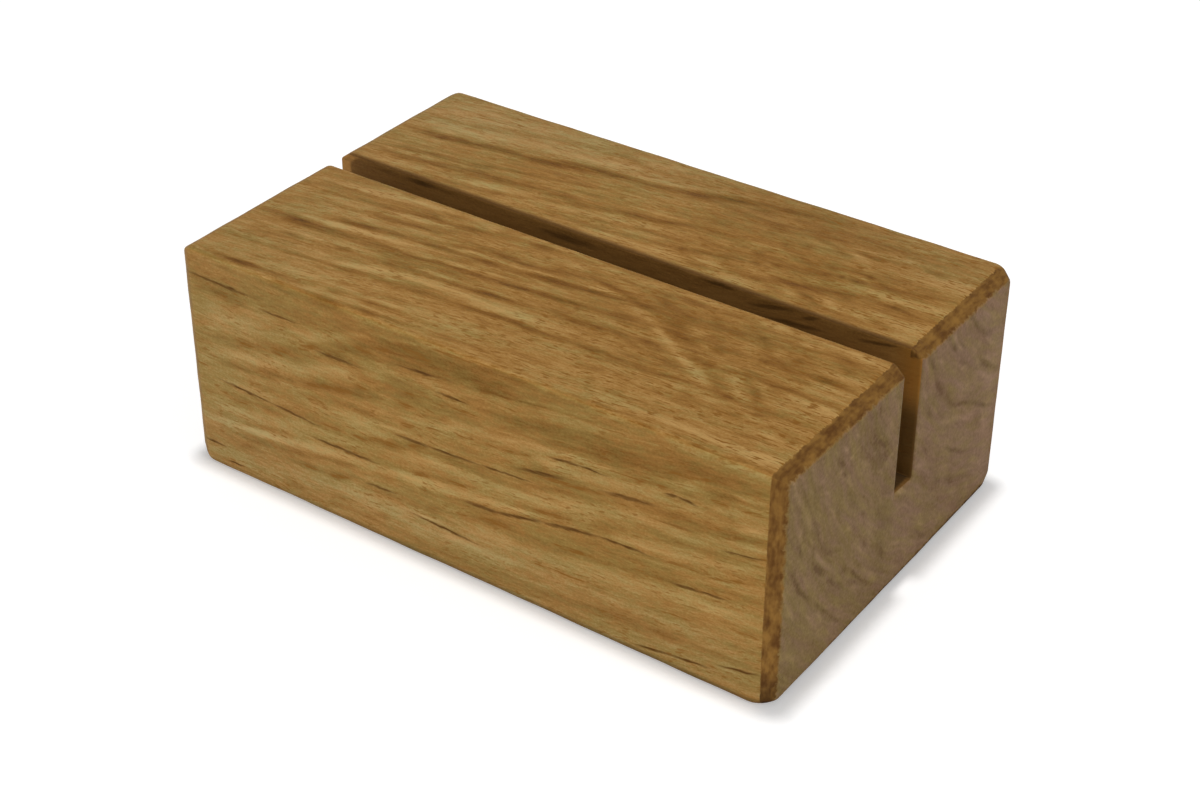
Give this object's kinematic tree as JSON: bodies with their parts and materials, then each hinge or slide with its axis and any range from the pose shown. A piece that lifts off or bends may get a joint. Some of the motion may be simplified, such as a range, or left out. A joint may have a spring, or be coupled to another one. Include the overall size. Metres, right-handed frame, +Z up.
{
  "type": "place card holder",
  "caption": "Solid oak block with a sawn slot along its length that holds a card upright, bevelled ends and a flat base.",
  "frame": {"origin": "centre of the base, on the surface that the block stands on", "axes": "+X along the slot, +Y from the front face to the back face, +Z up"},
  "size_m": [0.08, 0.05, 0.0292],
  "materials": {
    "oak": "sanded oak with a thin satin oil finish"
  },
  "bodies": {
    "root": {"oak_block": "oak"}
  },
  "joints": []
}
